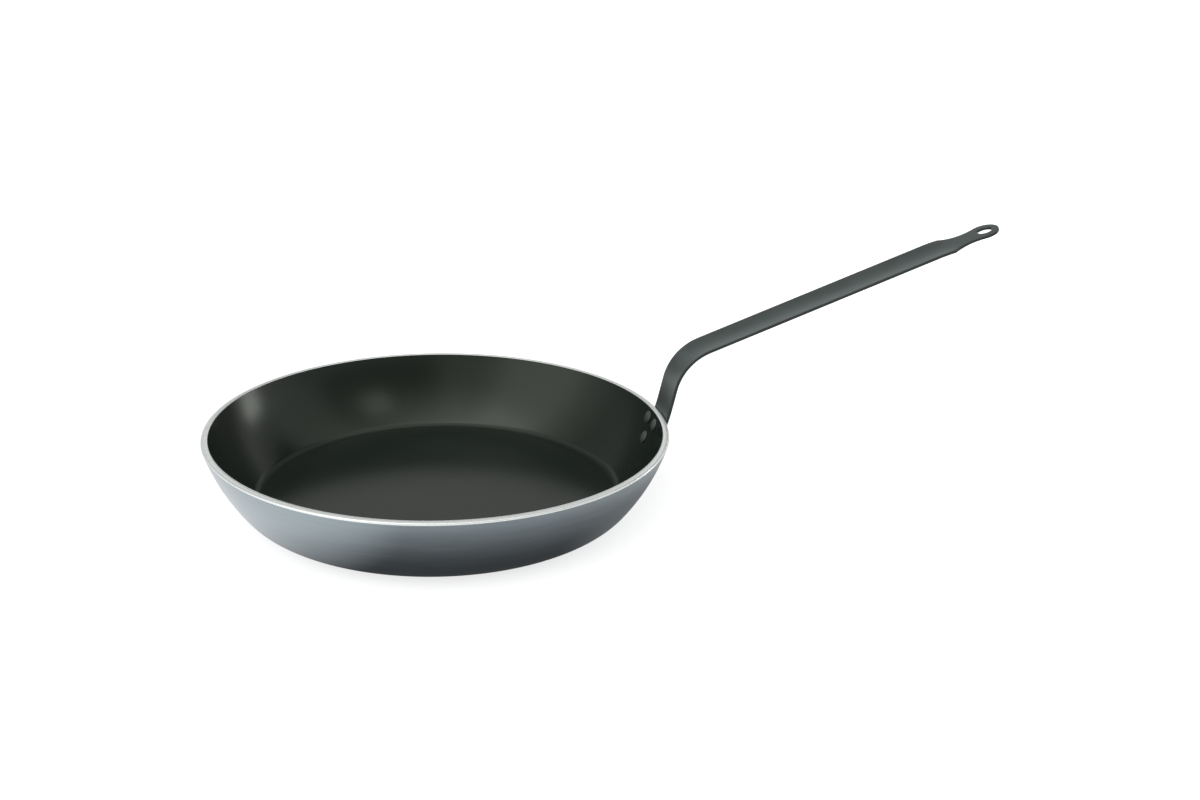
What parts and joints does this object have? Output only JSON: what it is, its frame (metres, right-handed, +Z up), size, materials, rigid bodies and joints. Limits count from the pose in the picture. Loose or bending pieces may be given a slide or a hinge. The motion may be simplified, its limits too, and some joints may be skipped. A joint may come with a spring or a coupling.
{
  "type": "omelette pan",
  "caption": "Round aluminium frying pan with curved low walls, a dark non-stick lining, a bare turned rim and a long bent steel strip handle that ends in a hanging eye.",
  "frame": {"origin": "centre of the underside, on the surface the pan stands on", "axes": "+Z up along the pan's axis, +X out along the handle, the handle's mirror plane is Y = 0"},
  "size_m": [0.498, 0.28, 0.1619],
  "materials": {
    "pan_metal": "turned, dull blue-grey outside, bright at the rim",
    "lining": "smooth non-stick coating, soft sheen",
    "handle_steel": "dark grey, satin",
    "rivet_metal": "dulled grey"
  },
  "bodies": {
    "root": {"pan_body": "pan_metal", "nonstick_lining": "lining", "handle": "handle_steel", "rivets": "rivet_metal"}
  },
  "joints": []
}
